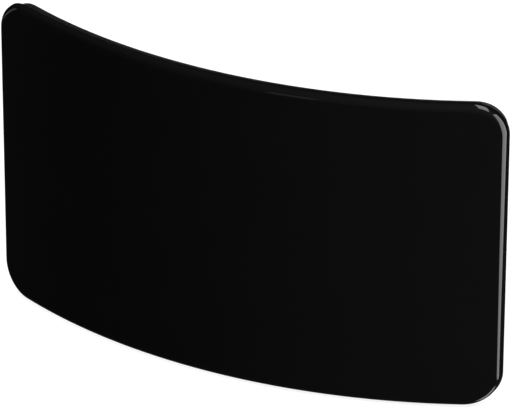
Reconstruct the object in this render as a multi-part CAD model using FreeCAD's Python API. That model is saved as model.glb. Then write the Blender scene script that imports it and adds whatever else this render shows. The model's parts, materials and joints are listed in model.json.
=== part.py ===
import FreeCAD, Part
import math
import os

Vector = FreeCAD.Vector

# Curved indoor television antenna, in millimetres. +X is the viewer's right, +Y the rear, +Z up.
# The origin is the middle of the centre foot's underside, on the surface that the antenna stands on.
# A depth is measured from the front face, square to it, towards the upright axis of its curve.

# Panel
panel_width = 240.0
panel_height = 143.0
face_radius = 257.0
corner_radius = 15.0
case_depth = 12.0

# Front cover
front_wall = 2.0
rim_wall = 2.0
rim_depth = 4.2
rim_round = 3.2

# Rear cover: a tub that slides into the front cover's rim
tub_gap = 0.2
tub_wall = 1.8
rear_wall = 2.0
tub_round = 3.0

# Feet
foot_drop = 0.5
foot_width = 4.0
foot_length = 30.0
foot_gap = 0.4
foot_pocket = 0.6
foot_end_round = 1.5
foot_inset = 20.0

# Case screws and the bosses that take them
screw_shank_d = 2.2
screw_gap = 0.1
screw_head_d = 4.8
screw_head_h = 1.6
screw_crown_share = 0.55
screw_length = 7.0
screw_tip_room = 0.4
boss_d = 6.0
post_d = 8.4
post_gap = 0.1
counterbore_d = 5.6
seat_depth = 7.5
seat_wall = 1.8
screw_inset_x = 16.0
screw_inset_z = 15.5
web_width = 1.2
web_depth = 5.0
web_gap = 0.3

# Dipole wings, of sheet metal
sheet = 0.4
wing_stand_off = 2.6
feed_tab_start = 4.0
feed_tab_end = 20.0
feed_tab_height = 14.0
wing_reach = 96.0
wing_height = 100.0
wing_corner = 6.0
stake_d = 3.0
stake_gap = 0.2
stake_shoulder_d = 6.0
stake_head_d = 5.0
stake_head_h = 1.0
stake_inner_x = 44.0
stake_outer_inset = 12.0

# Amplifier board and what stands on it
board_width = 38.0
board_height = 64.0
board_above_feed = 12.0
board_thick = 1.2
board_corner = 1.5
feed_screw_x = 11.0
board_screw_inset = 5.0
small_shank_d = 1.8
small_head_d = 3.6
small_head_h = 1.2
small_boss_d = 4.4
small_screw_reach = 2.6
can_width = 28.0
can_height = 18.0
can_depth = 2.3
can_wall = 0.3
can_below_feed = 20.0
chip_size = 5.0
chip_thick = 0.9
filter_width = 7.0
filter_height = 5.0
filter_thick = 1.4
part_spacing = 6.5
core_width = 7.0
core_height = 5.0
core_thick = 2.4
core_hole_d = 1.2
core_hole_pitch = 3.2

# Coaxial socket: a 3/8 inch nose for the lead's plug, on a thicker root that a nut clamps in the rear wall
nose_d = 9.525
nose_length = 8.0
nose_chamfer = 0.7
root_d = 11.0
socket_bore_d = 6.6
socket_above_board_foot = 15.0
hex_flats = 13.0
hex_thick = 2.0
tail_d = 7.6
contact_d = 1.8
contact_bore_d = 1.0
contact_recess = 1.0
insulator_recess = 0.4
wall_hole_gap = 0.3
washer_d = 17.0
washer_thick = 0.8
nut_flats = 14.0
nut_thick = 2.5
nut_chamfer_slope = 1.7
seat_face_margin = 1.5

# Places that follow from the sizes above
foot_front = rim_depth + foot_gap
foot_back = foot_front + foot_width
axis_y = face_radius - (foot_front + foot_back) / 2
panel_bottom = foot_drop
panel_top = foot_drop + panel_height
feed_z = panel_bottom + panel_height / 2
tub_inset = rim_wall + tub_gap
tub_open_depth = front_wall + tub_gap
rim_inner_round = rim_round - front_wall
tub_lead_round = rim_inner_round - tub_gap
wing_depth = front_wall + wing_stand_off

# How far a cutting tool runs past what it cuts, and how near counts as touching
over = 5.0
touch = 1e-4


def face_y(x, depth):
    """Where the surface at a depth below the front face stands in Y, at a place across the width."""
    return axis_y - math.sqrt((face_radius - depth) ** 2 - x ** 2)


def within(depth):
    """The upright cylinder that holds all that lies deeper than a depth."""
    height = panel_height + 4 * over
    return Part.makeCylinder(face_radius - depth, height, Vector(0, axis_y, panel_bottom - 2 * over))


def edges_along(shape, axis):
    """The edges that run along an axis."""
    return [e for e in shape.Edges if e.tangentAt(e.FirstParameter).cross(axis).Length < touch]


def rounded_prism(width, height, radius, x, z):
    """A round-cornered rectangle seen from the front, centred on x and z, drawn back to the curve's axis."""
    start = face_y(0, 0) - over
    prism = Part.makeBox(width, axis_y - start, height, Vector(x - width / 2, start, z - height / 2))
    return prism.makeFillet(radius, edges_along(prism, Vector(0, 1, 0)))


def between(prism, near, far):
    """The layer of a prism between two depths."""
    return prism.common(within(near)).cut(within(far))


def edges_at(shape, depth):
    """The edges that lie wholly on the surface at a depth."""
    samples = 5

    def on_surface(edge):
        points = edge.discretize(samples)
        radii = [math.hypot(p.x, p.y - axis_y) for p in points]
        return all(abs(r - (face_radius - depth)) < touch for r in radii)
    return [e for e in shape.Edges if on_surface(e)]


def layer(inset, radius, near, far, near_round=0, far_round=0):
    """A layer of the panel's outline, drawn in by an inset, with its front or rear edge rounded."""
    width = panel_width - 2 * inset
    height = panel_height - 2 * inset
    shape = between(rounded_prism(width, height, radius, 0, feed_z), near, far)
    if near_round:
        shape = shape.makeFillet(near_round, edges_at(shape, near))
    if far_round:
        shape = shape.makeFillet(far_round, edges_at(shape, far))
    return shape


def rod(x, z, diameter, y_from, y_to):
    """A round rod along Y."""
    return Part.makeCylinder(diameter / 2, y_to - y_from, Vector(x, y_from, z), Vector(0, 1, 0))


def hexagon(x, z, flats, y_from, y_to):
    """A hexagonal prism along Y, with a flat side up and down."""
    reach = flats / math.sqrt(3)
    turns = [math.radians(60 * k) for k in range(7)]
    ring = [Vector(x + reach * math.cos(a), y_from, z + reach * math.sin(a)) for a in turns]
    return Part.Face(Part.makePolygon(ring)).extrude(Vector(0, y_to - y_from, 0))


def block(width, height, x, z, y_from, y_to):
    """A rectangular block, centred on x and z."""
    return Part.makeBox(width, y_to - y_from, height, Vector(x - width / 2, y_from, z - height / 2))


def screw(x, z, shank_d, head_d, head_h, y_seat, length):
    """A pan-head screw driven towards the front, with its head's underside at y_seat."""
    head = rod(x, z, head_d, y_seat, y_seat + head_h)
    crown = [e for e in head.Edges if e.BoundBox.YMin > y_seat + head_h / 2 and len(e.Vertexes) == 1]
    head = head.makeFillet(head_h * screw_crown_share, crown)
    return head.fuse(rod(x, z, shank_d, y_seat - length, y_seat))


# Fixing points
case_x = panel_width / 2 - screw_inset_x
case_low = panel_bottom + screw_inset_z
case_high = panel_top - screw_inset_z
case_points = [(x, z) for x in (-case_x, 0, case_x) for z in (case_low, case_high)]
tab_y = face_y(feed_tab_end, wing_depth)
board_y = face_y(feed_tab_end, wing_depth + sheet)
board_back = board_y + board_thick
board_top = feed_z + board_above_feed
board_bottom = board_top - board_height
board_z = (board_top + board_bottom) / 2
feed_points = [(side * feed_screw_x, feed_z) for side in (-1, 1)]
board_hold_x = board_width / 2 - board_screw_inset
board_points = [(side * board_hold_x, board_bottom + board_screw_inset) for side in (-1, 1)]
stake_outer_x = wing_reach - stake_outer_inset
stake_rise = wing_height / 2 - stake_outer_inset
stake_points = [(stake_inner_x, feed_z)]
stake_points += [(stake_outer_x, feed_z + side * stake_rise) for side in (-1, 1)]
socket_z = board_bottom + socket_above_board_foot
wall_in = face_y(0, case_depth - rear_wall)
wall_out = face_y(0, case_depth)
nut_end = wall_out + washer_thick + nut_thick
nose_end = nut_end + nose_length


def case_seat_y(x):
    """Where the front cover's boss meets the rear cover's post."""
    return face_y(x, seat_depth)


def case_boss(x, z):
    """A boss of the front cover for one case screw, with its blind pilot hole and a web to stiffen it."""
    seat = case_seat_y(x)
    boss = rod(x, z, boss_d, face_y(0, 0), seat - post_gap).common(within(front_wall / 2))
    web_inset = tub_inset + tub_wall + web_gap
    web_end = panel_top - web_inset if z > feed_z else panel_bottom + web_inset
    web = block(web_width, abs(web_end - z), x, (web_end + z) / 2, face_y(0, 0), axis_y)
    boss = boss.fuse(between(web, front_wall / 2, web_depth))
    tip = seat + seat_wall - screw_length
    return boss, rod(x, z, screw_shank_d + screw_gap, tip - screw_tip_room, seat + over)


def small_boss(x, z, y_top, y_seat, reach):
    """A boss of the front cover for one small screw."""
    boss = rod(x, z, small_boss_d, face_y(0, 0), y_top).common(within(front_wall / 2))
    pilot = rod(x, z, small_shank_d + screw_gap, y_seat - reach - screw_tip_room, y_top + over)
    return boss, pilot


def stake(x, z):
    """A post of the front cover that carries a wing, with the head that is melted over it."""
    front = face_y(0, 0)
    back = face_y(x, case_depth)
    root = front_wall / 2
    head_near = wing_depth + sheet
    shoulder = between(rod(x, z, stake_shoulder_d, front, back), root, wing_depth)
    neck = between(rod(x, z, stake_d, front, back), root, head_near + stake_head_h / 2)
    head = between(rod(x, z, stake_head_d, front, back), head_near, head_near + stake_head_h)
    return shoulder.fuse(neck).fuse(head)


def front_cover():
    """The glossy front: a bent panel with a rounded rim, and the bosses that carry everything inside."""
    shell = layer(0, corner_radius, 0, rim_depth, near_round=rim_round)
    cavity_corner = corner_radius - rim_wall
    cavity = layer(rim_wall, cavity_corner, front_wall, rim_depth + over, near_round=rim_inner_round)
    shell = shell.cut(cavity)
    pilots = []
    additions = []
    for x, z in case_points:
        boss, pilot = case_boss(x, z)
        additions.append(boss)
        pilots.append(pilot)
    for x, z in feed_points:
        boss, pilot = small_boss(x, z, tab_y, board_back, board_thick + sheet + small_screw_reach)
        additions.append(boss)
        pilots.append(pilot)
    for x, z in board_points:
        boss, pilot = small_boss(x, z, board_y, board_back, board_thick + small_screw_reach)
        additions.append(boss)
        pilots.append(pilot)
    for side in (-1, 1):
        additions += [stake(side * x, z) for x, z in stake_points]
    return shell.multiFuse(additions).cut(Part.makeCompound(pilots)).removeSplitter()


def foot_block(x, z_from, z_to):
    """The form of one foot between two heights, which its pocket shares."""
    corner = Vector(x - foot_length / 2, face_y(0, 0), z_from)
    strip = Part.makeBox(foot_length, axis_y, z_to - z_from, corner)
    strip = between(strip, foot_front, foot_back)
    return strip.makeFillet(foot_end_round, edges_along(strip, Vector(0, 0, 1)))


foot_side_x = panel_width / 2 - foot_inset - foot_length / 2
foot_places = {"left": -foot_side_x, "centre": 0.0, "right": foot_side_x}
foot_top = panel_bottom + tub_inset + foot_pocket


def case_post(x, z):
    """A post of the rear cover for one case screw, and the stepped hole through it."""
    seat = case_seat_y(x)
    post = rod(x, z, post_d, seat, face_y(x, case_depth) + over).cut(within(case_depth - rear_wall / 2))
    hole = rod(x, z, screw_shank_d + 2 * screw_gap, seat - over, seat + seat_wall + over)
    recess = rod(x, z, counterbore_d, seat + seat_wall, face_y(x, case_depth) + 2 * over)
    return post, hole.fuse(recess)


def rear_cover():
    """The matt rear tub, with its screw posts, the socket's hole and flat seat, and pockets for the feet."""
    tub = layer(tub_inset, corner_radius - tub_inset, tub_open_depth, case_depth, tub_lead_round, tub_round)
    cavity_inset = tub_inset + tub_wall
    cavity = layer(cavity_inset, corner_radius - cavity_inset, tub_open_depth - over, case_depth - rear_wall,
                   far_round=tub_round - rear_wall)
    tub = tub.cut(cavity)
    posts, holes = zip(*(case_post(x, z) for x, z in case_points))
    tub = tub.multiFuse(list(posts))
    cuts = list(holes)
    cuts.append(rod(0, socket_z, root_d + wall_hole_gap, wall_in - over, wall_out + over))
    cuts.append(rod(0, socket_z, washer_d + 2 * seat_face_margin, wall_out, wall_out + over))
    cuts += [foot_block(x, panel_bottom, foot_top) for x in foot_places.values()]
    return tub.cut(Part.makeCompound(cuts)).removeSplitter()


def dipole_wing(side):
    """One bow-tie wing: a flat feed tab, bent to follow the panel and flaring to its outer end."""
    half_tab = feed_tab_height / 2
    half_end = wing_height / 2
    corners = [(feed_tab_end, half_tab), (wing_reach, half_end)]
    corners += [(wing_reach, -half_end), (feed_tab_end, -half_tab)]
    start = face_y(0, 0) - over
    points = [Vector(side * x, start, feed_z + z) for x, z in corners]
    flare = Part.Face(Part.makePolygon(points + points[:1])).extrude(Vector(0, axis_y - start, 0))
    long_edges = edges_along(flare, Vector(0, 1, 0))
    ends = [e for e in long_edges if abs(abs(e.Vertexes[0].X) - wing_reach) < touch]
    flare = between(flare.makeFillet(wing_corner, ends), wing_depth, wing_depth + sheet)
    tab_x = side * (feed_tab_start + feed_tab_end) / 2
    tab = block(feed_tab_end - feed_tab_start, feed_tab_height, tab_x, feed_z, tab_y, board_y)
    wing = flare.fuse(tab)
    hole_d = stake_d + 2 * stake_gap
    holes = [rod(side * x, z, hole_d, start, face_y(x, case_depth)) for x, z in stake_points]
    holes.append(rod(side * feed_screw_x, feed_z, small_shank_d + 2 * screw_gap, start, board_y + over))
    return wing.cut(Part.makeCompound(holes)).removeSplitter()


def amplifier_board():
    """The circuit board, with holes for its screws and for the socket's contact."""
    board = block(board_width, board_height, 0, board_z, board_y, board_back)
    board = board.makeFillet(board_corner, edges_along(board, Vector(0, 1, 0)))
    spots = feed_points + board_points
    holes = [rod(x, z, small_shank_d + 2 * screw_gap, board_y - over, board_back + over) for x, z in spots]
    holes.append(rod(0, socket_z, contact_d, board_y - over, board_back + over))
    return board.cut(Part.makeCompound(holes))


can_z = feed_z - can_below_feed
can_back = board_back + can_depth


def shield_frame():
    """The screening can's fence, soldered to the board."""
    fence = block(can_width, can_height, 0, can_z, board_back, can_back)
    inner_width = can_width - 2 * can_wall
    inner_height = can_height - 2 * can_wall
    return fence.cut(block(inner_width, inner_height, 0, can_z, board_back - over, can_back + over))


def shield_lid():
    """The screening can's lid, whose skirt grips the fence from outside."""
    width = can_width + 2 * can_wall
    height = can_height + 2 * can_wall
    lid = block(width, height, 0, can_z, can_back - can_depth / 2, can_back + can_wall)
    return lid.cut(block(can_width, can_height, 0, can_z, board_back - over, can_back))


def balun_core():
    """The two-hole ferrite core between the feed screws."""
    core = block(core_width, core_height, 0, feed_z, board_back, board_back + core_thick)
    middle = board_back + core_thick / 2
    holes = [Part.makeCylinder(core_hole_d / 2, core_height + 2 * over,
                               Vector(side * core_hole_pitch / 2, middle, feed_z - core_height / 2 - over))
             for side in (-1, 1)]
    return core.cut(Part.makeCompound(holes))


def socket_body():
    """The socket's nose, root, hexagon and tail, turned from one bar and bored through."""
    nose = rod(0, socket_z, nose_d, wall_in, nose_end)
    mouth = [e for e in nose.Edges if e.BoundBox.YMin > nut_end and len(e.Vertexes) == 1]
    nose = nose.makeChamfer(nose_chamfer, mouth)
    root = rod(0, socket_z, root_d, wall_in, nut_end)
    flange = hexagon(0, socket_z, hex_flats, wall_in - hex_thick, wall_in)
    tail = rod(0, socket_z, tail_d, board_back, wall_in - hex_thick)
    bore = rod(0, socket_z, socket_bore_d, board_back - over, nose_end + over)
    return nose.multiFuse([root, flange, tail]).cut(bore).removeSplitter()


def socket_insulator():
    """The plastic plug in the socket, with a countersunk way in to the contact."""
    end = nose_end - insulator_recess
    plug = rod(0, socket_z, socket_bore_d, board_back, end)
    mouth = Part.makeCone(contact_bore_d / 2, contact_d / 2, contact_recess,
                          Vector(0, end - contact_recess, socket_z), Vector(0, 1, 0))
    way = rod(0, socket_z, contact_d, board_back - over, end - contact_recess)
    return plug.cut(way).cut(mouth)


def socket_contact():
    """The spring contact: a thin tube from the socket's mouth to its solder joint in the board."""
    end = nose_end - insulator_recess - contact_recess
    tube = rod(0, socket_z, contact_d, board_y, end)
    return tube.cut(rod(0, socket_z, contact_bore_d, board_back, end + over))


def socket_washer():
    """The washer under the socket's nut."""
    disc = rod(0, socket_z, washer_d, wall_out, wall_out + washer_thick)
    return disc.cut(rod(0, socket_z, root_d + wall_hole_gap, wall_out - over, wall_out + over))


def socket_nut():
    """The hexagon nut, chamfered at its outer corners."""
    start = wall_out + washer_thick
    nut = hexagon(0, socket_z, nut_flats, start, nut_end)
    corner_cone = Part.makeCone(nut_flats / 2 + nut_thick * nut_chamfer_slope, nut_flats / 2, nut_thick,
                                Vector(0, start, socket_z), Vector(0, 1, 0))
    return nut.common(corner_cone).cut(rod(0, socket_z, root_d, start - over, nut_end + over))


def screw_group(points, shank_d, head_d, head_h, seat_y, length):
    """Identical screws as one group."""
    screws = [screw(x, z, shank_d, head_d, head_h, seat_y(x), length) for x, z in points]
    return Part.makeCompound(screws)


def small_screws(points, length):
    """Identical small screws that bear on the board's rear face."""
    return screw_group(points, small_shank_d, small_head_d, small_head_h, lambda x: board_back, length)


def chip(width, height, thick, x):
    """A packaged component in the screening can, soldered to the board."""
    return block(width, height, x, can_z, board_back, board_back + thick)


parts = {
    "front_cover": front_cover(),
    "rear_cover": rear_cover(),
    "dipole_wing_left": dipole_wing(-1),
    "dipole_wing_right": dipole_wing(1),
    "amplifier_board": amplifier_board(),
    "shield_frame": shield_frame(),
    "shield_lid": shield_lid(),
    "amplifier_chip": chip(chip_size, chip_size, chip_thick, -part_spacing),
    "filter_module": chip(filter_width, filter_height, filter_thick, part_spacing),
    "balun_core": balun_core(),
    "socket_body": socket_body(),
    "socket_insulator": socket_insulator(),
    "socket_contact": socket_contact(),
    "socket_washer": socket_washer(),
    "socket_nut": socket_nut(),
    "feed_screws": small_screws(feed_points, board_thick + sheet + small_screw_reach),
    "board_screws": small_screws(board_points, board_thick + small_screw_reach),
    "cover_screws": screw_group(case_points, screw_shank_d, screw_head_d, screw_head_h,
                                lambda x: case_seat_y(x) + seat_wall, screw_length),
}
for place, x in foot_places.items():
    parts["foot_pad_" + place] = foot_block(x, 0, foot_top)

os.makedirs("parts", exist_ok=True)
for name, shape in parts.items():
    shape.exportStep("parts/" + name + ".step")
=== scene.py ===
"""Looks of a curved indoor television antenna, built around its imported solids.

Lengths in the classes are millimetres, and MM turns them into Blender's metres. +X is the viewer's
right, +Y the rear and +Z up. The origin is the middle of the centre foot's underside.
"""

import json
import logging
import math
from dataclasses import dataclass
from enum import Enum
from typing import Callable, Iterable

import bmesh
import bpy
from bmesh.types import BMEdge, BMesh, BMVert
from bpy.types import ID, Material, Mesh, Node, NodeSocket, NodeTree, Object, World
from mathutils import Matrix, Vector


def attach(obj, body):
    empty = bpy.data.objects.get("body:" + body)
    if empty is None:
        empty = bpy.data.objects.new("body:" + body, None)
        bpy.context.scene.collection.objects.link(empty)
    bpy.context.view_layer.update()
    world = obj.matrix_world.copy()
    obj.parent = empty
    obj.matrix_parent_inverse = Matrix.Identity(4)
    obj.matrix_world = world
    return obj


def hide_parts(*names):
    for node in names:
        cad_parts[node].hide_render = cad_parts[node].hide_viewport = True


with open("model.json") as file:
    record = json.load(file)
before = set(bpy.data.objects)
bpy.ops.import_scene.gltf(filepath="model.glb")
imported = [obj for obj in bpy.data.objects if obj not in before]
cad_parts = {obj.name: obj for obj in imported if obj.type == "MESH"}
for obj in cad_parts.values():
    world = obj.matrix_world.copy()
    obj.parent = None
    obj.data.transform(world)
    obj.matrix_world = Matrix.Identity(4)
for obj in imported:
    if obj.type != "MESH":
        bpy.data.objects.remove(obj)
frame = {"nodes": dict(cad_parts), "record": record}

MM = 0.001
ROOT = "root"

# How near counts as one place, in millimetres: as a rule, along a wound thread's seam, and at a cut.
TOUCH = 1e-4
SEAM = 1e-3
CUT = 1e-5

# What a mesh keeps at its corners: a place on the flat sheet, a shading direction, or a card's brightness.
SPOT = "spot"
FACING = "facing"
GLOW = "glow"

Colour = tuple[float, float, float]
Place = tuple[float, float, float]
Ring = list[BMEdge]

# A ring's radius or its place along the axis: a number, or a function that gives it at an angle.
Along = float | Callable[[float], float]

log = logging.getLogger("antenna")


class Sketch:
    """Short hand for adding and joining the nodes of one tree."""

    def __init__(self, tree: NodeTree) -> None:
        """Keeps the tree that the nodes go into."""
        self.tree = tree

    @classmethod
    def on(cls, owner: Material | World) -> "Sketch":
        """Starts on the emptied tree of a material or the world."""
        owner.use_nodes = True
        owner.node_tree.nodes.clear()
        return cls(owner.node_tree)

    def add(self, kind: str, inputs: dict[str | int, object] | None = None, **settings: object) -> Node:
        """Adds a node.

        Args:
            kind: The node's type name, without its ShaderNode prefix.
            inputs: Socket names or numbers, each with a value or with the socket that feeds it.
            settings: Properties of the node itself.

        Returns:
            The new node.
        """
        node = self.tree.nodes.new("ShaderNode" + kind)
        for name, value in settings.items():
            setattr(node, name, value)
        for name, value in (inputs or {}).items():
            if isinstance(value, NodeSocket):
                self.tree.links.new(value, node.inputs[name])
            else:
                node.inputs[name].default_value = value
        return node

    def math(self, operation: str, *values: object) -> NodeSocket:
        """Adds a Math node and returns its result."""
        return self.add("Math", dict(enumerate(values)), operation=operation).outputs[0]

    def spread(self, value: NodeSocket, low: float, high: float, start: float = 0.0,
               stop: float = 1.0) -> NodeSocket:
        """Spreads a value between start and stop over the range from low to high, and returns the result."""
        return self.add("MapRange", {"Value": value, "From Min": start, "From Max": stop,
                                     "To Min": low, "To Max": high}).outputs["Result"]


class Effect(Enum):
    """Surface effects that several finishes share, each one a shader node group.

    The methods that draw them take a place in pitches, and give a height and a mask.
    """

    GRAIN = "moulded_grain"
    HAZE = "handling_haze"
    LAY = "rolled_lay"

    def group(self) -> NodeTree:
        """Finds the effect's node group, or builds it the first time.

        Returns:
            The group, which takes a position and a pitch, and puts out a height and a mask.
        """
        found = bpy.data.node_groups.get(self.value)
        if found:
            return found
        tree = bpy.data.node_groups.new(self.value, "ShaderNodeTree")
        for name, way, kind in (("Position", "INPUT", "Vector"), ("Pitch", "INPUT", "Float"),
                                ("Height", "OUTPUT", "Float"), ("Mask", "OUTPUT", "Float")):
            tree.interface.new_socket(name=name, in_out=way, socket_type="NodeSocket" + kind)
        sketch = Sketch(tree)
        given = tree.nodes.new("NodeGroupInput")
        frequency = sketch.math("DIVIDE", 1.0, given.outputs["Pitch"])
        place = sketch.add("VectorMath", {0: given.outputs["Position"], "Scale": frequency}, operation="SCALE")
        draw = {Effect.GRAIN: self._grain, Effect.HAZE: self._haze, Effect.LAY: self._lay}[self]
        height, mask = draw(sketch, place.outputs[0])
        result = tree.nodes.new("NodeGroupOutput")
        tree.links.new(height, result.inputs["Height"])
        tree.links.new(mask, result.inputs["Mask"])
        return tree

    @staticmethod
    def _grain(sketch: Sketch, place: NodeSocket) -> tuple[NodeSocket, NodeSocket]:
        """Draws spark-eroded grain: the height of craters of mixed sizes, and a slow mask for the colour."""
        crater_share = 0.7
        craters = sketch.add("TexVoronoi", {"Vector": place, "Scale": 1.0}, feature="SMOOTH_F1")
        fine = sketch.add("TexNoise", {"Vector": place, "Scale": 2.3, "Detail": 3.0, "Roughness": 0.6})
        slow = sketch.add("TexNoise", {"Vector": place, "Scale": 0.03, "Detail": 2.0})
        height = sketch.math("MULTIPLY_ADD", craters.outputs["Distance"], crater_share, fine.outputs[0])
        return height, slow.outputs[0]

    @staticmethod
    def _haze(sketch: Sketch, place: NodeSocket) -> tuple[NodeSocket, NodeSocket]:
        """Draws the faint haze of a polished surface: the height of slow waves, and a mask of soft clouds."""
        waves = sketch.add("TexNoise", {"Vector": place, "Scale": 1.0, "Detail": 1.0, "Roughness": 0.4})
        clouds = sketch.add("TexNoise", {"Vector": place, "Scale": 1.7, "Detail": 5.0, "Roughness": 0.62})
        return waves.outputs[0], clouds.outputs[0]

    @staticmethod
    def _lay(sketch: Sketch, place: NodeSocket) -> tuple[NodeSocket, NodeSocket]:
        """Draws the lay of rolled metal: the height of long fine lines along X, and a mask of the mottle."""
        drawn = sketch.add("Mapping", {"Vector": place, "Scale": (0.04, 1.0, 1.0)})
        lines = sketch.add("TexNoise", {"Vector": drawn.outputs[0], "Scale": 1.0, "Detail": 3.0})
        mottle = sketch.add("TexNoise", {"Vector": place, "Scale": 0.12, "Detail": 4.0, "Roughness": 0.6})
        return lines.outputs[0], mottle.outputs[0]


@dataclass(frozen=True)
class Finish:
    """A finish: a slot of the record and the look of its surface.

    As the effect's mask rises, the surface goes from its shade to its colour and over its range of
    roughness. The pitch and the relief are the size and the height of the effect, in millimetres.
    """

    slot: str
    colour: Colour
    shade: Colour
    roughness: tuple[float, float]
    effect: Effect
    pitch: float
    relief: float
    metal: bool = False
    ior: float = 1.5
    mask_span: tuple[float, float] = (0.35, 0.65)

    def material(self) -> Material:
        """Returns the finish's material, built the first time it is asked for."""
        found = bpy.data.materials.get("finish_" + self.slot)
        return found or self._build()

    def _build(self) -> Material:
        """Builds the material: colour and roughness from the effect's mask, relief from its height."""
        made = bpy.data.materials.new("finish_" + self.slot)
        sketch = Sketch.on(made)
        surface = sketch.tree.nodes.new("ShaderNodeGroup")
        surface.node_tree = self.effect.group()
        surface.inputs["Pitch"].default_value = self.pitch * MM
        sketch.tree.links.new(sketch.add("TexCoord").outputs["Object"], surface.inputs["Position"])
        mask = surface.outputs["Mask"]
        bump = sketch.add("Bump", {"Strength": 1.0, "Distance": self.relief * MM,
                                   "Height": surface.outputs["Height"]})
        shader = sketch.add("BsdfPrincipled", {
            "Base Color": self._colour(sketch, mask),
            "Roughness": sketch.spread(mask, *self.roughness),
            "Metallic": 1.0 if self.metal else 0.0,
            "IOR": self.ior,
            "Normal": bump.outputs[0],
        })
        sketch.add("OutputMaterial", {"Surface": shader.outputs[0]})
        return made

    def _colour(self, sketch: Sketch, mask: NodeSocket) -> NodeSocket:
        """Mixes the finish's two colours by the effect's mask, and returns the result."""
        ramp = sketch.add("ValToRGB", {"Fac": mask})
        for stop, position, colour in zip(ramp.color_ramp.elements, self.mask_span, (self.shade, self.colour)):
            stop.position = position
            stop.color = (*colour, 1.0)
        return ramp.outputs[0]


GLOSS_BLACK = Finish("gloss_black", colour=(0.0013, 0.0013, 0.0014), shade=(0.001, 0.001, 0.0011),
                     roughness=(0.04, 0.09), effect=Effect.HAZE, pitch=38.0, relief=0.004, ior=1.49)
MATT_BLACK = Finish("matt_black", colour=(0.0055, 0.0055, 0.006), shade=(0.0045, 0.0045, 0.005),
                    roughness=(0.4, 0.5), effect=Effect.GRAIN, pitch=0.42, relief=0.058)
TINPLATE = Finish("tinplate", colour=(0.66, 0.66, 0.64), shade=(0.54, 0.54, 0.52),
                  roughness=(0.22, 0.4), effect=Effect.LAY, pitch=0.25, relief=0.003, metal=True)
CIRCUIT_BOARD = Finish("circuit_board", colour=(0.02, 0.15, 0.06), shade=(0.012, 0.09, 0.04),
                       roughness=(0.25, 0.4), effect=Effect.HAZE, pitch=6.0, relief=0.01)
CHIP_BLACK = Finish("chip_black", colour=(0.03, 0.03, 0.03), shade=(0.02, 0.02, 0.02),
                    roughness=(0.5, 0.65), effect=Effect.GRAIN, pitch=0.12, relief=0.006)
FILTER_CERAMIC = Finish("filter_ceramic", colour=(0.74, 0.68, 0.56), shade=(0.62, 0.56, 0.45),
                        roughness=(0.45, 0.6), effect=Effect.GRAIN, pitch=0.2, relief=0.006)
FERRITE = Finish("ferrite", colour=(0.09, 0.085, 0.08), shade=(0.05, 0.048, 0.045),
                 roughness=(0.55, 0.75), effect=Effect.GRAIN, pitch=0.15, relief=0.01)
NICKEL = Finish("nickel", colour=(0.68, 0.66, 0.62), shade=(0.58, 0.56, 0.52),
                roughness=(0.14, 0.26), effect=Effect.HAZE, pitch=1.2, relief=0.002, metal=True)
CONTACT_BRASS = Finish("contact_brass", colour=(0.76, 0.58, 0.27), shade=(0.64, 0.47, 0.2),
                       roughness=(0.18, 0.3), effect=Effect.HAZE, pitch=0.8, relief=0.001, metal=True)
INSULATOR_WHITE = Finish("insulator_white", colour=(0.86, 0.86, 0.83), shade=(0.78, 0.78, 0.74),
                         roughness=(0.35, 0.5), effect=Effect.HAZE, pitch=1.5, relief=0.004)
ZINC_STEEL = Finish("zinc_steel", colour=(0.56, 0.57, 0.58), shade=(0.44, 0.45, 0.46),
                    roughness=(0.25, 0.4), effect=Effect.HAZE, pitch=0.7, relief=0.002, metal=True)
FOOT_RUBBER = Finish("foot_rubber", colour=(0.028, 0.028, 0.028), shade=(0.018, 0.018, 0.018),
                     roughness=(0.7, 0.88), effect=Effect.GRAIN, pitch=0.2, relief=0.012)
FINISHES = {f.slot: f for f in (GLOSS_BLACK, MATT_BLACK, TINPLATE, CIRCUIT_BOARD, CHIP_BLACK, FILTER_CERAMIC,
                                FERRITE, NICKEL, CONTACT_BRASS, INSULATOR_WHITE, ZINC_STEEL, FOOT_RUBBER)}


@dataclass(frozen=True)
class PanelForm:
    """The panel's main sizes and the places of its screws, as in the solids."""

    width: float = 240.0
    height: float = 143.0
    face_radius: float = 257.0
    axis_y: float = 250.4
    middle_z: float = 72.0
    seat_depth: float = 7.5
    seat_wall: float = 1.8
    board_back: float = 0.395
    socket_z: float = 35.0
    case_screw_x: float = 104.0
    case_screw_rise: float = 56.0
    feed_screw_x: float = 11.0
    board_screw_x: float = 14.0
    board_screw_z: float = 25.0

    def face_y(self, x: float, depth: float) -> float:
        """Returns where the surface at a depth below the front face stands in Y, at a place across."""
        return self.axis_y - math.sqrt((self.face_radius - depth) ** 2 - x ** 2)

    def case_seats(self) -> list[Place]:
        """Returns where the heads of the six case screws bear on the rear cover."""
        return [(x, self.face_y(x, self.seat_depth) + self.seat_wall, self.middle_z + rise)
                for x in (-self.case_screw_x, 0.0, self.case_screw_x)
                for rise in (-self.case_screw_rise, self.case_screw_rise)]

    def feed_seats(self) -> list[Place]:
        """Returns where the heads of the two screws through the wings bear on the board."""
        return [(x, self.board_back, self.middle_z) for x in (-self.feed_screw_x, self.feed_screw_x)]

    def board_seats(self) -> list[Place]:
        """Returns where the heads of the two screws at the board's lower end bear on it."""
        return [(x, self.board_back, self.board_screw_z) for x in (-self.board_screw_x, self.board_screw_x)]


PANEL = PanelForm()


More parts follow.
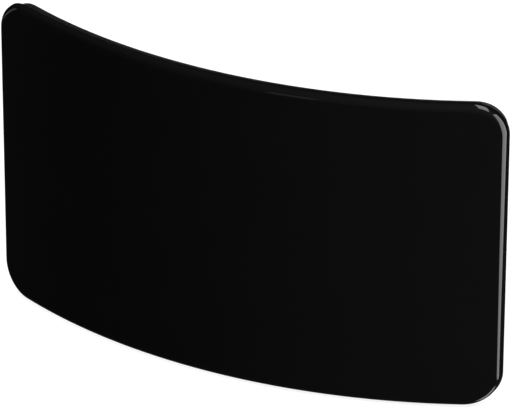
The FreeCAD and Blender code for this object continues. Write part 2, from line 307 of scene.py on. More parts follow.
class Turning:
    """A form about an axis along Y, grown ring by ring, in millimetres.

    RISE, CREST and FALL give a thread's profile in shares of its pitch: where it leaves the root, where
    it reaches the crest, and where it leaves the crest again.
    """

    RISE = 0.25
    CREST = 0.56
    FALL = 0.69

    def __init__(self, x: float = 0.0, z: float = 0.0, form: BMesh | None = None) -> None:
        """Starts a turning.

        Args:
            x: The axis's place across the width.
            z: The axis's height.
            form: The form that takes the turning. Without one, it gets a form of its own.
        """
        self.form = form or bmesh.new()
        self.x = x
        self.z = z

    def ring(self, segments: int, radius: Along, y: Along) -> Ring:
        """Draws a ring that stands by itself.

        Args:
            segments: How many edges it has.
            radius: Its radius.
            y: Its place along the axis.

        Returns:
            The ring's edges.
        """
        corners = bmesh.ops.create_circle(self.form, segments=segments, radius=1.0)["verts"]
        bmesh.ops.rotate(self.form, verts=corners, matrix=Matrix.Rotation(math.pi / 2, 3, "X"))
        bmesh.ops.translate(self.form, verts=corners, vec=(self.x, 0.0, self.z))
        self._place(corners, radius, y)
        return list(dict.fromkeys(edge for corner in corners for edge in corner.link_edges))

    def grow(self, ring: Ring, radius: Along, y: Along) -> Ring:
        """Grows the skin on from a ring to a new one.

        Args:
            ring: The edges to start from.
            radius: The new ring's radius.
            y: The new ring's place along the axis.

        Returns:
            The new ring's edges.
        """
        grown = bmesh.ops.extrude_edge_only(self.form, edges=ring)["geom"]
        corners = {g for g in grown if isinstance(g, BMVert)}
        self._place(corners, radius, y)
        return [g for g in grown if isinstance(g, BMEdge) and set(g.verts) <= corners]

    def follow(self, ring: Ring, *steps: tuple[Along, Along]) -> Ring:
        """Grows on through steps of a radius and a place along the axis, and returns the last ring."""
        for radius, y in steps:
            ring = self.grow(ring, radius, y)
        return ring

    def thread(self, crest: float, root: float, pitch: float, low: float, high: float, steps: int,
               lead: float) -> tuple[Ring, Ring]:
        """Winds a right-hand screw thread by spinning one pitch of its profile, and trims both ends square.

        Args:
            crest: The radius over the thread.
            root: The radius under the thread.
            pitch: How far one turn goes.
            low: Where the thread begins along the axis.
            high: Where it ends.
            steps: Edges in one turn.
            lead: The length of the chamfer at the high end.

        Returns:
            The open rings at the low and the high end.
        """
        others = set(self.form.verts)
        run_in = 2
        turns = math.ceil((high - low) / pitch) + run_in + 1
        profile = ((root, 0.0), (root, self.RISE), (crest, self.CREST), (crest, self.FALL), (root, 1.0))
        points = [self.form.verts.new((self.x + radius, low - (run_in - share) * pitch, self.z))
                  for radius, share in profile]
        lines = [self.form.edges.new(pair) for pair in zip(points, points[1:])]
        bmesh.ops.spin(self.form, geom=points + lines, cent=(self.x, 0.0, self.z), axis=(0.0, 1.0, 0.0),
                       dvec=(0.0, pitch / steps, 0.0), angle=2 * math.pi * turns, steps=steps * turns)
        bmesh.ops.remove_doubles(self.form, verts=self._newer(others), dist=SEAM)
        for place, cut_low, cut_high in ((low, True, False), (high, False, True), (high - lead, False, False)):
            skin = self._newer(others)
            edges = dict.fromkeys(e for v in skin for e in v.link_edges)
            faces = dict.fromkeys(f for v in skin for f in v.link_faces)
            bmesh.ops.bisect_plane(self.form, geom=[*skin, *edges, *faces], dist=CUT,
                                   plane_co=(0.0, place, 0.0), plane_no=(0.0, 1.0, 0.0),
                                   clear_inner=cut_low, clear_outer=cut_high)
        skin = self._newer(others)
        self._chamfer(skin, crest, high - lead)
        border = dict.fromkeys(e for v in skin for e in v.link_edges if e.is_boundary)
        ends = [[e for e in border if all(abs(v.co.y - y) < SEAM for v in e.verts)] for y in (low, high)]
        return ends[0], ends[1]

    def bridge(self, first: Ring, second: Ring) -> None:
        """Joins two open rings with a band of faces."""
        bmesh.ops.bridge_loops(self.form, edges=first + second)

    def fill(self, outer: Ring, inner: Ring) -> None:
        """Fills the flat band between two rings that lie in one plane across the axis."""
        bmesh.ops.triangle_fill(self.form, use_beauty=True, edges=outer + inner, normal=(0.0, 1.0, 0.0))

    def cap(self, ring: Ring) -> None:
        """Closes an open ring with one face."""
        bmesh.ops.holes_fill(self.form, edges=ring, sides=0)

    def _newer(self, others: set[BMVert]) -> list[BMVert]:
        """Returns the corners that have come since others were counted."""
        return [v for v in self.form.verts if v not in others]

    def _chamfer(self, skin: list[BMVert], crest: float, start: float) -> None:
        """Turns a thread's corners down from the crest to a cone of 45 degrees, which begins at start."""
        for corner in skin:
            out = math.hypot(corner.co.x - self.x, corner.co.z - self.z)
            most = crest - max(0.0, corner.co.y - start)
            if out > most:
                bmesh.ops.scale(self.form, verts=[corner], vec=(most / out, 1.0, most / out),
                                space=Matrix.Translation((-self.x, 0.0, -self.z)))

    def _place(self, corners: Iterable[BMVert], radius: Along, y: Along) -> None:
        """Puts corners on a ring of a radius at a place along the axis, each at its own angle."""
        for corner in corners:
            angle = math.atan2(corner.co.z - self.z, corner.co.x - self.x)
            reach = radius(angle) if callable(radius) else radius
            along = y(angle) if callable(y) else y
            corner.co = (self.x + reach * math.cos(angle), along, self.z + reach * math.sin(angle))


def mesh_of(form: BMesh, name: str) -> Mesh:
    """Turns a form into a mesh of this name, frees the form and returns the mesh."""
    mesh = bpy.data.meshes.new(name)
    form.to_mesh(mesh)
    form.free()
    return mesh


def stand(name: str, data: ID) -> Object:
    """Puts an object with this data in the scene, and returns it."""
    made = bpy.data.objects.new(name, data)
    bpy.context.scene.collection.objects.link(made)
    return made


def set_piece(form: BMesh, name: str, node: str, finish: Finish, crease: float) -> None:
    """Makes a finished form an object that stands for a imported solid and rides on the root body.

    Args:
        form: The form, in millimetres, at its place. It is freed.
        name: The piece's name.
        node: The solid that it replaces.
        finish: Its finish.
        crease: The angle in degrees from which an edge is shaded sharp.
    """
    bmesh.ops.remove_doubles(form, verts=form.verts, dist=TOUCH)
    bmesh.ops.recalc_face_normals(form, faces=form.faces)
    bmesh.ops.scale(form, verts=form.verts, vec=(MM, MM, MM))
    mesh = mesh_of(form, name)
    mesh.shade_smooth()
    mesh.set_sharp_from_angle(angle=math.radians(crease))
    facing = mesh.attributes.get(FACING)
    if facing:
        mesh.normals_split_custom_set_from_vertices([tuple(item.vector) for item in facing.data])
        mesh.attributes.remove(mesh.attributes[FACING])
    mesh.materials.append(finish.material())
    piece = stand(name, mesh)
    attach(piece, ROOT)
    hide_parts(node)
    log.info("built %s for %s: %d faces", name, node, len(mesh.polygons))


@dataclass
class FrontCover:
    """The glossy front: a bent panel whose rim follows a rolling ball, and the bosses inside it.

    A stake is given by its place from the panel's middle, and by steps of a radius and a depth below the face.
    """

    corner: float = 15.0
    wall: float = 2.0
    rim_round: float = 3.2
    rim_depth: float = 4.2
    lip_edge: float = 0.15
    case_boss: float = 3.0
    case_pilot: float = 1.15
    case_reach: float = 7.4
    seat_gap: float = 0.1
    web_width: float = 1.2
    web_depth: float = 5.0
    web_inset: float = 4.3
    small_boss: float = 2.2
    small_pilot: float = 0.95
    small_reach: float = 3.0
    board_thick: float = 1.2
    wing_thick: float = 0.4
    stake_spots: tuple[tuple[float, float], ...] = ((44.0, 0.0), (84.0, -38.0), (84.0, 38.0))
    stake_foot: float = 3.0
    stake_steps: tuple[tuple[float, float], ...] = ((3.0, 4.6), (1.5, 4.6), (1.5, 5.0), (2.5, 5.0), (2.5, 5.6),
                                                    (1.9, 6.0))
    across: int = 88
    upward: int = 10
    corner_steps: int = 16
    round_steps: int = 12
    boss_steps: int = 24
    crease: float = 40.0

    def build(self) -> None:
        """Builds the shell and its bosses as one piece."""
        form = bmesh.new()
        self._shell(form)
        for x, y, z in PANEL.case_seats():
            top = y - PANEL.seat_wall - self.seat_gap
            self._boss(form, x, z, self.case_boss, top, self.case_pilot, y - self.case_reach)
            self._web(form, x, z)
        for seats, clamped in ((PANEL.feed_seats(), self.board_thick + self.wing_thick),
                               (PANEL.board_seats(), self.board_thick)):
            for x, y, z in seats:
                top = y - clamped
                self._boss(form, x, z, self.small_boss, top, self.small_pilot, top - self.small_reach)
        for side in (-1, 1):
            for x, rise in self.stake_spots:
                self._stake(form, side * x, PANEL.middle_z + rise)
        set_piece(form, "front_cover_gloss", "front_cover", GLOSS_BLACK, self.crease)

    def _shell(self, form: BMesh) -> None:
        """Bends a round-cornered sheet to the panel's curve, rolls its rim over and folds it back inside."""
        form.verts.layers.float_vector.new(SPOT)
        form.verts.layers.float_vector.new(FACING)
        width = PANEL.width - 2 * self.rim_round
        height = PANEL.height - 2 * self.rim_round
        sheet = bmesh.ops.create_grid(form, x_segments=1, y_segments=1, size=0.5)["verts"]
        bmesh.ops.scale(form, verts=sheet, vec=(width, height, 1.0))
        bmesh.ops.bevel(form, geom=sheet, affect="VERTICES", offset=self.corner - self.rim_round,
                        segments=self.corner_steps, profile=0.5, material=-1)
        self._slice(form, Vector((PANEL.width - 2 * self.corner, 0.0, 0.0)), self.across)
        self._slice(form, Vector((0.0, PANEL.height - 2 * self.corner, 0.0)), self.upward)
        spot = form.verts.layers.float_vector[SPOT]
        for corner in form.verts:
            corner[spot] = (corner.co.x, 0.0, corner.co.y + PANEL.middle_z)
        rim = [e for e in form.edges if e.is_boundary]
        front = list(form.verts) + list(form.edges) + list(form.faces)
        inside = bmesh.ops.duplicate(form, geom=front)["geom"]
        self._seat(form, [g for g in front if isinstance(g, BMVert)], self.rim_round, 0.0)
        self._seat(form, [g for g in inside if isinstance(g, BMVert)], self.rim_round - self.wall, 0.0)
        self._roll(form, rim)
        bmesh.ops.remove_doubles(form, verts=form.verts, dist=TOUCH)

    @staticmethod
    def _slice(form: BMesh, span: Vector, parts: int) -> None:
        """Cuts the flat sheet into equal parts across a span about its middle."""
        for step in range(parts + 1):
            bmesh.ops.bisect_plane(form, geom=form.verts[:] + form.edges[:] + form.faces[:],
                                   plane_co=span * (step / parts - 0.5), plane_no=span.normalized(), dist=TOUCH)

    def _ball(self, spot: Vector) -> tuple[Vector, Vector, Vector]:
        """Finds the rolling ball at a place of the sheet.

        Args:
            spot: The place, as x and z seen from the front.

        Returns:
            The ball's middle, and the directions in which it touches the face and the panel's edge.
        """
        reach = PANEL.face_radius - self.rim_round
        turn = math.asin(spot.x / reach)
        middle = Vector((spot.x, PANEL.axis_y - reach * math.cos(turn), spot.z))
        hold_x = PANEL.width / 2 - self.corner
        hold_z = PANEL.height / 2 - self.corner
        rise = spot.z - PANEL.middle_z
        out = Vector((spot.x - max(-hold_x, min(hold_x, spot.x)), 0.0, rise - max(-hold_z, min(hold_z, rise))))
        return middle, Vector((math.sin(turn), -math.cos(turn), 0.0)), out.normalized()

    def _seat(self, form: BMesh, corners: list[BMVert], radius: float, share: float) -> None:
        """Puts corners on the ball.

        Args:
            form: The shell.
            corners: The corners, each with its place on the flat sheet in the spot layer.
            radius: Their distance from the ball's middle.
            share: How far they have turned from the face, at 0, to the panel's edge, at 1.
        """
        layers = form.verts.layers.float_vector
        for corner in corners:
            middle, face, out = self._ball(corner[layers[SPOT]])
            way = face.slerp(out, share) if share else face
            corner.co = middle + way * radius
            corner[layers[FACING]] = way if radius == self.rim_round else Vector()

    def _edge(self, form: BMesh, corners: list[BMVert], inset: float, depth: float) -> None:
        """Puts corners on the rim's lip.

        Args:
            form: The shell.
            corners: The corners, each with its place on the flat sheet in the spot layer.
            inset: How far they are inside the panel's outline.
            depth: How far they are below its face.
        """
        layers = form.verts.layers.float_vector
        for corner in corners:
            middle, _, out = self._ball(corner[layers[SPOT]])
            place = middle + out * (self.rim_round - inset)
            corner.co = (place.x, PANEL.face_y(place.x, depth), place.z)
            corner[layers[FACING]] = Vector()

    def _roll(self, form: BMesh, rim: Ring) -> None:
        """Rolls the front's rim over to the panel's edge, back along it, and in again to the inner face.

        Args:
            form: The shell.
            rim: The edges round the front face.
        """
        shares = [step / self.round_steps for step in range(self.round_steps + 1)]
        for share in shares[1:]:
            rim = self._step(form, rim, lambda corners: self._seat(form, corners, self.rim_round, share))
        lip = ((0.0, self.rim_depth - self.lip_edge), (self.lip_edge, self.rim_depth),
               (self.wall - self.lip_edge, self.rim_depth), (self.wall, self.rim_depth - self.lip_edge))
        for inset, depth in lip:
            rim = self._step(form, rim, lambda corners: self._edge(form, corners, inset, depth))
        inner = self.rim_round - self.wall
        for share in reversed(shares):
            rim = self._step(form, rim, lambda corners: self._seat(form, corners, inner, share))

    @staticmethod
    def _step(form: BMesh, rim: Ring, place: Callable[[list[BMVert]], None]) -> Ring:
        """Extrudes a rim, lets place put its new corners where they go, and returns the new rim."""
        grown = bmesh.ops.extrude_edge_only(form, edges=rim)["geom"]
        corners = [g for g in grown if isinstance(g, BMVert)]
        place(corners)
        fresh = set(corners)
        return [g for g in grown if isinstance(g, BMEdge) and set(g.verts) <= fresh]

    @staticmethod
    def _at_depth(x: float, radius: float, depth: float) -> Callable[[float], float]:
        """Returns the function that keeps a ring about x on the surface at a depth."""
        return lambda angle: PANEL.face_y(x + radius * math.cos(angle), depth)

    def _boss(self, form: BMesh, x: float, z: float, radius: float, top: float, pilot: float,
              bottom: float) -> None:
        """Builds a screw boss with its blind pilot hole.

        Args:
            form: The cover's form.
            x: The boss's place across the width.
            z: Its height.
            radius: Its radius.
            top: Where its end stands in Y.
            pilot: The pilot hole's radius.
            bottom: Where the hole ends in Y.
        """
        work = Turning(x, z, form)
        foot = work.ring(self.boss_steps, radius, self._at_depth(x, radius, self.wall / 2))
        floor = max(bottom, PANEL.face_y(x, self.wall / 2) + self.lip_edge)
        work.cap(work.follow(foot, (radius, top), (pilot, top), (pilot, floor)))
        work.cap(foot)

    def _web(self, form: BMesh, x: float, z: float) -> None:
        """Builds the web that stiffens the case boss at a place, towards the nearer long edge."""
        side = 1.0 if z > PANEL.middle_z else -1.0
        end = PANEL.middle_z + side * (PANEL.height / 2 - self.web_inset)
        near, far = PANEL.face_y(x, self.wall / 2), PANEL.face_y(x, self.web_depth)
        made = bmesh.ops.create_cube(form, size=1.0)["verts"]
        bmesh.ops.scale(form, verts=made, vec=(self.web_width, far - near, abs(end - z)))
        bmesh.ops.translate(form, verts=made, vec=(x, (near + far) / 2, (end + z) / 2))

    def _stake(self, form: BMesh, x: float, z: float) -> None:
        """Builds the post that carries a wing at a place, with the head that is melted over it."""
        work = Turning(x, z, form)
        foot = work.ring(self.boss_steps, self.stake_foot, self._at_depth(x, self.stake_foot, self.wall / 2))
        steps = [(radius, self._at_depth(x, radius, depth)) for radius, depth in self.stake_steps]
        work.cap(work.follow(foot, *steps))
        work.cap(foot)


@dataclass
class CoaxialSocket:
    """The aerial socket: a threaded nose on a root that a washer and a nut clamp in the rear wall."""

    segments: int = 72
    nose: float = 4.7625
    nose_length: float = 8.0
    nose_lead: float = 0.7
    pitch: float = 0.79375
    thread_depth: float = 0.47
    root: float = 5.5
    bore: float = 3.3
    tail: float = 3.8
    hex_flats: float = 13.0
    hex_thick: float = 2.0
    wall_in: float = 3.4
    wall_out: float = 5.4
    washer: float = 8.5
    washer_hole: float = 5.65
    washer_thick: float = 0.8
    nut_flats: float = 14.0
    nut_thick: float = 2.5
    nut_slope: float = 1.7
    edge: float = 0.12
    crease: float = 35.0
    nut_crease: float = 25.0

    def build(self) -> None:
        """Builds the socket's metal pieces."""
        nut_low = self.wall_out + self.washer_thick
        nut_high = nut_low + self.nut_thick
        self._body(nut_high, nut_high + self.nose_length)
        self._washer()
        self._nut(nut_low, nut_high)

    @staticmethod
    def _hexagon(flats: float) -> Callable[[float], float]:
        """Returns the function that gives a hexagon's radius at an angle."""
        sixth = math.pi / 3
        return lambda angle: flats / 2 / math.cos((angle % sixth) - sixth / 2)

    def _body(self, step: float, end: float) -> None:
        """Builds the turned body.

        Args:
            step: Where the root steps down to the threaded nose.
            end: The nose's end.
        """
        work = Turning(0.0, PANEL.socket_z)
        low, high = work.thread(self.nose, self.nose - self.thread_depth, self.pitch, step, end, self.segments,
                                self.nose_lead)
        mouth = work.follow(high, (self.bore + self.edge, end), (self.bore, end - self.edge))
        hexagon = self._hexagon(self.hex_flats)
        hex_low = self.wall_in - self.hex_thick
        ring = work.follow(low, (self.root, step), (self.root, self.wall_in), (hexagon, self.wall_in),
                           (hexagon, hex_low), (self.tail, hex_low), (self.tail, PANEL.board_back),
                           (self.bore, PANEL.board_back))
        work.bridge(ring, mouth)
        set_piece(work.form, "socket_threaded_body", "socket_body", NICKEL, self.crease)

    def _washer(self) -> None:
        """Builds the washer, with its edges broken."""
        work = Turning(0.0, PANEL.socket_z)
        low, high = self.wall_out, self.wall_out + self.washer_thick
        first = work.ring(self.segments, self.washer_hole, low)
        ring = work.follow(first, (self.washer - self.edge, low), (self.washer, low + self.edge),
                           (self.washer, high - self.edge), (self.washer - self.edge, high),
                           (self.washer_hole, high))
        work.bridge(ring, first)
        set_piece(work.form, "socket_flat_washer", "socket_washer", NICKEL, self.crease)

    def _nut(self, low: float, high: float) -> None:
        """Builds the nut, whose corners are turned off in a cone.

        Args:
            low: Where it bears on the washer.
            high: Its rear face.
        """
        work = Turning(0.0, PANEL.socket_z)
        hexagon = self._hexagon(self.nut_flats)
        flat = self.nut_flats / 2
        first = work.ring(self.segments, self.root, low)
        ring = work.follow(
            first, (hexagon, low),
            (hexagon, lambda angle: high - self.edge - (hexagon(angle) - flat) / self.nut_slope),
            (flat - self.edge, high), (self.root + 2 * self.edge, high), (self.root, high - 2 * self.edge))
        work.bridge(ring, first)
        set_piece(work.form, "socket_hexagon_nut", "socket_nut", NICKEL, self.nut_crease)


@dataclass
class PanHeadScrews:
    """A group of identical cross-recessed pan-head screws, driven towards the front.

    A place is where a head's underside bears. The shares are of the head's or the shank's own sizes.
    """

    node: str
    places: list[Place]
    shank: float
    head: float
    head_height: float
    length: float
    pitch: float
    steps: int = 24
    crown_share: float = 0.55
    crown_rings: int = 5
    arm_share: float = 0.13
    reach_share: float = 0.5
    recess_share: float = 0.6
    taper_share: float = 0.045
    core_share: float = 0.72
    tip: float = 0.35
    crease: float = 40.0

    def build(self) -> None:
        """Builds one screw with its head's underside at the origin, and sets a copy at each place."""
        work = Turning()
        top = self.head_height
        crown = self.crown_share * self.head_height
        flat = self.head / 2 - crown
        core = self.core_share * self.shank / 2
        ring = self._recessed_top(work, flat, top)
        for step in range(1, self.crown_rings + 1):
            turn = math.pi / 2 * step / self.crown_rings
            ring = work.grow(ring, flat + crown * math.sin(turn), top - crown * (1 - math.cos(turn)))
        ring = work.grow(ring, self.head / 2, 0.0)
        low, high = work.thread(self.shank / 2, core, self.pitch, self.tip - self.length, 0.0, self.steps, 0.0)
        work.fill(ring, high)
        end = work.grow(low, core - self.tip / 2, -self.length)
        work.cap(end)
        pattern = list(work.form.verts) + list(work.form.edges) + list(work.form.faces)
        for place in self.places[1:]:
            copied = bmesh.ops.duplicate(work.form, geom=pattern)["geom"]
            corners = [g for g in copied if isinstance(g, BMVert)]
            bmesh.ops.translate(work.form, verts=corners, vec=place)
        corners = [g for g in pattern if isinstance(g, BMVert)]
        bmesh.ops.translate(work.form, verts=corners, vec=self.places[0])
        set_piece(work.form, self.node + "_threaded", self.node, ZINC_STEEL, self.crease)

    def _recessed_top(self, work: Turning, flat: float, top: float) -> Ring:
        """Builds the head's flat top with its cross recess, from a square grid that is drawn out to a disc.

        Args:
            work: The screw's form.
            flat: The flat top's radius.
            top: Its height over the head's underside.

        Returns:
            The ring of edges round the flat top.
        """
        arm = self.arm_share * self.head / 2
        reach = self.reach_share * self.head / 2
        lines = (-flat, -reach, -(arm + reach) / 2, -arm, 0.0, arm, (arm + reach) / 2, reach, flat)
        cells = len(lines) - 1
        corners = bmesh.ops.create_grid(work.form, x_segments=cells, y_segments=cells, size=cells / 2)["verts"]
        for corner in corners:
            across, down = (lines[round(corner.co[k] + cells / 2)] for k in range(2))
            corner.co = (across * math.sqrt(1 - (down / flat) ** 2 / 2), top,
                         down * math.sqrt(1 - (across / flat) ** 2 / 2))
        ring = [e for e in work.form.edges if e.is_boundary]
        cross = [f for f in work.form.faces if self._in_cross(f.calc_center_median(), arm, reach)]
        bmesh.ops.recalc_face_normals(work.form, faces=work.form.faces)
        if work.form.faces[:][0].normal.y < 0:
            bmesh.ops.reverse_faces(work.form, faces=work.form.faces)
        bmesh.ops.inset_region(work.form, faces=cross, thickness=self.taper_share * self.head,
                               depth=-self.recess_share * self.head_height, use_even_offset=True)
        return ring

    @staticmethod
    def _in_cross(spot: Vector, arm: float, reach: float) -> bool:
        """Returns whether a place on the head's top is in the cross recess."""
        narrow, wide = sorted((abs(spot.x), abs(spot.z)))
        return narrow < arm and wide < reach


def look(azimuth: float, elevation: float) -> Matrix:
    """Works out the turn of something that looks back at the panel from a direction.

    Args:
        azimuth: Degrees round the panel, from its front towards its right.
        elevation: Degrees above its level.

    Returns:
        The turn, whose third column points from the panel to the place.
    """
    turn = Matrix.Rotation(math.radians(azimuth), 3, "Z")
    return turn @ Matrix.Rotation(math.radians(90.0 - elevation), 3, "X")


def stand_off(made: Object, aim: Place, azimuth: float, elevation: float, distance: float) -> None:
    """Moves an object off from a point, by degrees round and above it, and turns it to look back."""
    facing = look(azimuth, elevation)
    spot = Vector(aim) + facing.col[2] * distance
    made.matrix_world = Matrix.Translation(spot * MM) @ facing.to_4x4()


@dataclass
class Viewpoint:
    """Where the camera stands: degrees round and above the panel, and what it looks at."""

    azimuth: float = 26.44
    elevation: float = 27.27
    roll: float = 0.16
    distance: float = 2126.8
    lens: float = 351.9
    sensor: float = 36.0
    far_limit: float = 100000.0
    aim: Place = (0.0, -6.6, 72.0)
    aside: float = 17.23
    above: float = 10.24

    def set_up(self) -> None:
        """Makes the camera and gives it to the scene."""
        facing = look(self.azimuth, self.elevation) @ Matrix.Rotation(math.radians(self.roll), 3, "Z")
        right, up, back = (facing.col[k] for k in range(3))
        made = bpy.data.cameras.new("camera")
        made.sensor_width = self.sensor
        made.lens = self.lens
        made.clip_end = self.far_limit * MM
        camera = stand("camera", made)
        spot = Vector(self.aim) + right * self.aside + up * self.above + back * self.distance
        camera.matrix_world = Matrix.Translation(spot * MM) @ facing.to_4x4()
        bpy.context.scene.camera = camera
        log.info("camera at azimuth %.2f, elevation %.2f", self.azimuth, self.elevation)


@dataclass
class Lamp:
    """A soft lamp for the matt light, placed by degrees round and above the panel's middle."""

    name: str
    azimuth: float
    elevation: float
    distance: float
    size: float
    level: float

    def set_up(self) -> None:
        """Makes the lamp, whose level is the light it sheds on a surface that faces it."""
        lamp = bpy.data.lights.new(self.name, "AREA")
        lamp.shape = "SQUARE"
        lamp.size = self.size * MM
        lamp.energy = 4 * math.pi * self.level * (self.distance * MM) ** 2
        made = stand(self.name, lamp)
        stand_off(made, (0.0, 0.0, PANEL.middle_z), self.azimuth, self.elevation, self.distance)
        made.visible_camera = False
        made.visible_glossy = False
        log.info("lamp %s at azimuth %.0f, elevation %.0f", self.name, self.azimuth, self.elevation)


@dataclass
class Card:
    """A bright card that only reflections show, placed by degrees round and above a point of the panel.

    It fades over the margin inside its outline. The piece that it skips, if any, doesn't reflect it.
    """

    name: str
    azimuth: float
    elevation: float
    distance: float
    aim: Place
    outline: list[tuple[float, float]]
    margin: float
    level: float
    skips: str = ""

    def set_up(self) -> None:
        """Makes the card and hides it from all but reflections."""
        form = bmesh.new()
        glow = form.verts.layers.float.new(GLOW)
        sheet = form.faces.new([form.verts.new((x * MM, y * MM, 0.0)) for x, y in self.outline])
        bmesh.ops.inset_region(form, faces=[sheet], thickness=self.margin * MM, use_even_offset=True)
        for corner in sheet.verts:
            corner[glow] = 1.0
        mesh = mesh_of(form, self.name)
        mesh.materials.append(self._material())
        made = stand(self.name, mesh)
        stand_off(made, self.aim, self.azimuth, self.elevation, self.distance)
        for rays in ("camera", "diffuse", "transmission", "volume_scatter", "shadow"):
            setattr(made, "visible_" + rays, False)
        if self.skips:
            self._keep_off(made)
        log.info("card %s at azimuth %.0f, elevation %.0f", self.name, self.azimuth, self.elevation)

    def _keep_off(self, made: Object) -> None:
        """Keeps the light of the card's object off the piece that it skips."""
        unlit = bpy.data.collections.new(self.name + "_skips")
        unlit.objects.link(bpy.data.objects[self.skips])
        unlit.collection_objects[0].light_linking.link_state = "EXCLUDE"
        made.light_linking.receiver_collection = unlit

    def _material(self) -> Material:
        """Builds the card's glow, which the matt light doesn't sample."""
        made = bpy.data.materials.new(self.name)
        made.cycles.emission_sampling = "NONE"
        sketch = Sketch.on(made)
        fade = sketch.add("Attribute", attribute_name=GLOW).outputs["Fac"]
        level = sketch.add("MapRange", {"Value": fade, "To Max": self.level}, interpolation_type="SMOOTHSTEP")
        emission = sketch.add("Emission", {"Strength": level.outputs["Result"]})
        sketch.add("OutputMaterial", {"Surface": emission.outputs[0]})
        return made


def oblong(width: float, height: float) -> list[tuple[float, float]]:
    """Returns the outline of an oblong card."""
    x, y = width / 2, height / 2
    return [(-x, -y), (x, -y), (x, y), (-x, y)]


LAMPS = [
    Lamp("key_overhead", azimuth=15, elevation=62, distance=1600, size=1300, level=0.55),
    Lamp("fill_left", azimuth=-65, elevation=25, distance=1600, size=900, level=0.2),
    Lamp("fill_rear", azimuth=150, elevation=35, distance=1500, size=800, level=0.5),
]
RIGHT_WINDOW = [(-360, -227), (-318, -285), (-215, -320), (-60, -410), (200, -420), (250, -300), (470, -260),
                (600, -140), (640, 620), (0, 520), (-130, 200), (-290, -20)]
CARDS = [
    Card("window_right", azimuth=90, elevation=0, distance=600, aim=(118.0, 20.0, 0.0),
         outline=RIGHT_WINDOW, margin=120, level=3.9),
    Card("corner_high", azimuth=126, elevation=61, distance=700, aim=(110.0, 20.0, 141.0),
         outline=oblong(700, 320), margin=90, level=4.2),
    Card("corner_low", azimuth=88, elevation=-60, distance=600, aim=(114.0, 21.0, 8.0),
         outline=oblong(210, 270), margin=50, level=4.4),
    Card("corner_left", azimuth=-90, elevation=-3, distance=600, aim=(-114.0, 21.0, 135.0),
         outline=oblong(110, 430), margin=45, level=0.42),
    Card("front_line", azimuth=-9, elevation=12, distance=900, aim=(34.0, -4.0, 141.0),
         outline=oblong(170, 330), margin=70, level=0.35),
    Card("rear_left", azimuth=240, elevation=-10, distance=1500, aim=(0.0, 20.0, 72.0),
         outline=oblong(900, 1100), margin=200, level=1.0, skips="front_cover_gloss"),
]


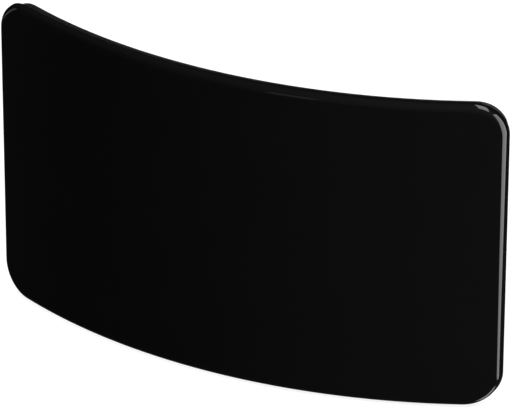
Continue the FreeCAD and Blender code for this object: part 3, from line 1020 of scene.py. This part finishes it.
@dataclass
class Studio:
    """A white floor under plain soft light, with cards that draw the panel's reflections.

    The gloss sees a dim room, which brightens from left to right and overhead, and darkens behind the
    panel. Each span says over which part of a direction's run that happens.
    """

    floor_size: float = 12000.0
    floor_glow: float = 0.86
    floor_seen: float = 0.24
    floor_tone: float = 0.8
    ambient: float = 0.3
    gloss_dark: float = 0.02
    gloss_light: float = 0.1
    gloss_rear: float = 0.2
    gloss_high: float = 2.6
    across_span: tuple[float, float] = (-0.8, 0.5)
    behind_span: tuple[float, float] = (0.3, 0.9)
    above_span: tuple[float, float] = (-0.45, 1.0)

    def set_up(self) -> None:
        """Sets the floor, the world and the lights."""
        self._floor()
        self._world()
        for light in LAMPS + CARDS:
            light.set_up()

    def _floor(self) -> None:
        """Lays the floor: white to the camera, with a light shadow, and out of sight of the gloss."""
        form = bmesh.new()
        bmesh.ops.create_grid(form, x_segments=1, y_segments=1, size=self.floor_size * MM / 2)
        mesh = mesh_of(form, "floor")
        white = bpy.data.materials.new("floor_white")
        sketch = Sketch.on(white)
        camera = sketch.add("LightPath").outputs["Is Camera Ray"]
        tone = sketch.spread(camera, self.floor_tone, self.floor_seen)
        matt = sketch.add("BsdfDiffuse", {"Color": tone})
        glow = sketch.add("Emission", {"Strength": sketch.math("MULTIPLY", camera, self.floor_glow)})
        both = sketch.add("AddShader", {0: matt.outputs[0], 1: glow.outputs[0]})
        sketch.add("OutputMaterial", {"Surface": both.outputs[0]})
        mesh.materials.append(white)
        floor = stand("floor", mesh)
        floor.visible_glossy = False

    def _world(self) -> None:
        """Makes the world white to the camera, dim to the gloss and a plain ambient to the rest."""
        world = bpy.data.worlds.new("studio")
        sketch = Sketch.on(world)
        rays = sketch.add("LightPath")
        seen = sketch.math("MAXIMUM", rays.outputs["Is Camera Ray"], rays.outputs["Is Transmission Ray"])
        way = sketch.add("SeparateXYZ", {0: sketch.add("TexCoord").outputs["Generated"]})
        across = sketch.spread(way.outputs["X"], self.gloss_dark, self.gloss_light, *self.across_span)
        behind = sketch.spread(way.outputs["Y"], 1.0, self.gloss_rear, *self.behind_span)
        above = sketch.spread(way.outputs["Z"], 1.0, self.gloss_high, *self.above_span)
        dim = sketch.math("MULTIPLY", across, sketch.math("MULTIPLY", behind, above))
        gloss = sketch.add("Mix", {"Factor": rays.outputs["Is Glossy Ray"], "A": self.ambient, "B": dim})
        strength = sketch.add("Mix", {"Factor": seen, "A": gloss.outputs[0], "B": 1.0})
        light = sketch.add("Background", {"Color": (1.0, 1.0, 1.0, 1.0), "Strength": strength.outputs[0]})
        sketch.add("OutputWorld", {"Surface": light.outputs[0]})
        bpy.context.scene.world = world


def screw_groups() -> list[PanHeadScrews]:
    """Lists the case screws, and the two small groups that hold the wings and the board."""
    small = {"shank": 1.8, "head": 3.6, "head_height": 1.2, "pitch": 0.7}
    return [
        PanHeadScrews("cover_screws", PANEL.case_seats(), length=7.0, shank=2.2, head=4.8, head_height=1.6,
                      pitch=0.8),
        PanHeadScrews("feed_screws", PANEL.feed_seats(), length=4.2, **small),
        PanHeadScrews("board_screws", PANEL.board_seats(), length=3.8, **small),
    ]


def dress_solids() -> None:
    """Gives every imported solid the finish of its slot."""
    slots = {s["node"]: s["material_slot"] for s in frame["record"]["subparts"]}
    for node, solid in frame["nodes"].items():
        solid.data.materials.clear()
        solid.data.materials.append(FINISHES[slots[node]].material())
        log.info("dressed %s in %s", node, slots[node])


def main() -> None:
    """Builds the stage and the antenna in order."""
    logging.basicConfig(level=logging.INFO, format="%(name)s: %(message)s")
    bpy.context.scene.view_settings.view_transform = "Standard"
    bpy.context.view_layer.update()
    dress_solids()
    FrontCover().build()
    CoaxialSocket().build()
    for group in screw_groups():
        group.build()
    Studio().set_up()
    Viewpoint().set_up()


if __name__ == "__main__":
    main()
